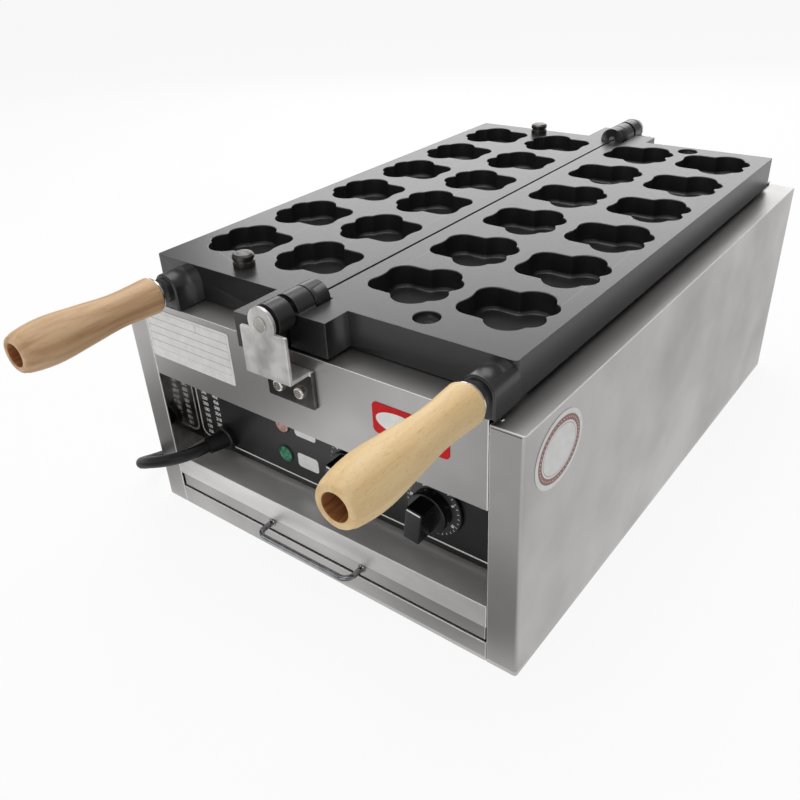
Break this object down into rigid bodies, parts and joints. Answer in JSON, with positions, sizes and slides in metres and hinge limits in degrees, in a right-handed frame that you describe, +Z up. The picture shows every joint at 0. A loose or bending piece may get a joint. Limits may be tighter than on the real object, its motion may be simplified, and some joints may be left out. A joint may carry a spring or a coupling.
{
  "type": "paw-shaped waffle maker",
  "caption": "Countertop waffle maker with two hinged black plates of paw-shaped cavities, wooden handles, a steel case, a timer, a thermostat and a pull-out crumb tray.",
  "frame": {"origin": "middle of the case's underside, on the surface that it stands on", "axes": "+X to the right seen from the controls, +Y to the rear along the hinge line, +Z up"},
  "size_m": [0.5464, 0.6822, 0.243],
  "materials": {
    "stainless": "brushed stainless sheet",
    "polished_stainless": "polished stainless sheet",
    "black_casting": "cast aluminium with a dark non-stick coating",
    "black_panel": "black printed panel, satin",
    "black_plastic": "black moulded plastic",
    "wood": "turned beech, clear",
    "zinc": "bright plated steel",
    "dark_steel": "dark steel tube",
    "brass": "plain brass",
    "copper_lead": "insulated leads",
    "green_lens": "green lamp lens",
    "red_lens": "red lamp lens",
    "cord_rubber": "black cord sheath",
    "white_plate": "bare pale plate",
    "red_sticker": "red sticker with a pale patch",
    "white_sticker": "white sticker with a brown-red ring",
    "phenolic": "dark phenolic"
  },
  "bodies": {
    "case": {"left_side_wall": "stainless", "right_side_wall": "stainless", "base_pan": "stainless", "front_panel": "stainless", "back_panel": "stainless", "control_shelf": "stainless", "heat_shield": "stainless", "tray_runners": "stainless", "element_rails": "stainless", "left_liner": "polished_stainless", "right_liner": "polished_stainless", "front_hinge_bracket": "polished_stainless", "rear_hinge_bracket": "polished_stainless", "control_panel": "black_panel", "lamp_bodies": "black_plastic", "cable_gland": "black_plastic", "gland_nut": "black_plastic", "strain_relief": "black_plastic", "plug_boot": "black_plastic", "plug_body": "black_plastic", "bracket_screws": "zinc", "hinge_pins": "zinc", "element_nuts": "zinc", "left_inner_element": "dark_steel", "left_outer_element": "dark_steel", "right_inner_element": "dark_steel", "right_outer_element": "dark_steel", "element_terminals": "brass", "plug_pins": "brass", "thermostat_bulb": "brass", "thermostat_capillary": "brass", "control_wires": "copper_lead", "green_lamp_lens": "green_lens", "red_lamp_lens": "red_lens", "power_cord": "cord_rubber", "cord_coil": "cord_rubber", "rating_plate": "white_plate", "front_badge": "red_sticker", "side_badge": "white_sticker", "terminal_block": "phenolic", "thermostat_body": "phenolic", "timer_body": "phenolic"},
    "left_plate": {"left_plate": "black_casting", "locating_pins": "black_casting", "left_handle_rod": "zinc", "left_handle_washer": "zinc", "left_handle": "wood", "left_handle_nut": "zinc"},
    "right_plate": {"right_plate": "black_casting", "right_handle_rod": "zinc", "right_handle_washer": "zinc", "right_handle": "wood", "right_handle_nut": "zinc"},
    "crumb_tray": {"crumb_tray": "stainless", "tray_handle": "zinc", "tray_handle_screws": "zinc"},
    "thermostat_dial": {"thermostat_shaft": "zinc", "thermostat_knob": "black_plastic"},
    "timer_dial": {"timer_shaft": "zinc", "timer_knob": "black_plastic"}
  },
  "joints": [
    {"name": "left_plate_hinge", "type": "hinge", "parent": "case", "child": "left_plate", "pos_m": [0, 0, 0.231], "axis": [0, 1, 0], "range_deg": [0, 180]},
    {"name": "right_plate_hinge", "type": "hinge", "parent": "case", "child": "right_plate", "pos_m": [0, 0, 0.231], "axis": [0, -1, 0], "range_deg": [0, 180]},
    {"name": "crumb_tray_slide", "type": "slide", "parent": "case", "child": "crumb_tray", "axis": [0, -1, 0], "range_m": [0, 0.44]},
    {"name": "thermostat_turn", "type": "hinge", "parent": "case", "child": "thermostat_dial", "pos_m": [0.025, -0.234, 0.098], "axis": [0, 1, 0], "range_deg": [0, 300]},
    {"name": "timer_turn", "type": "hinge", "parent": "case", "child": "timer_dial", "pos_m": [0.098, -0.234, 0.0915], "axis": [0, 1, 0], "range_deg": [0, 330]}
  ]
}
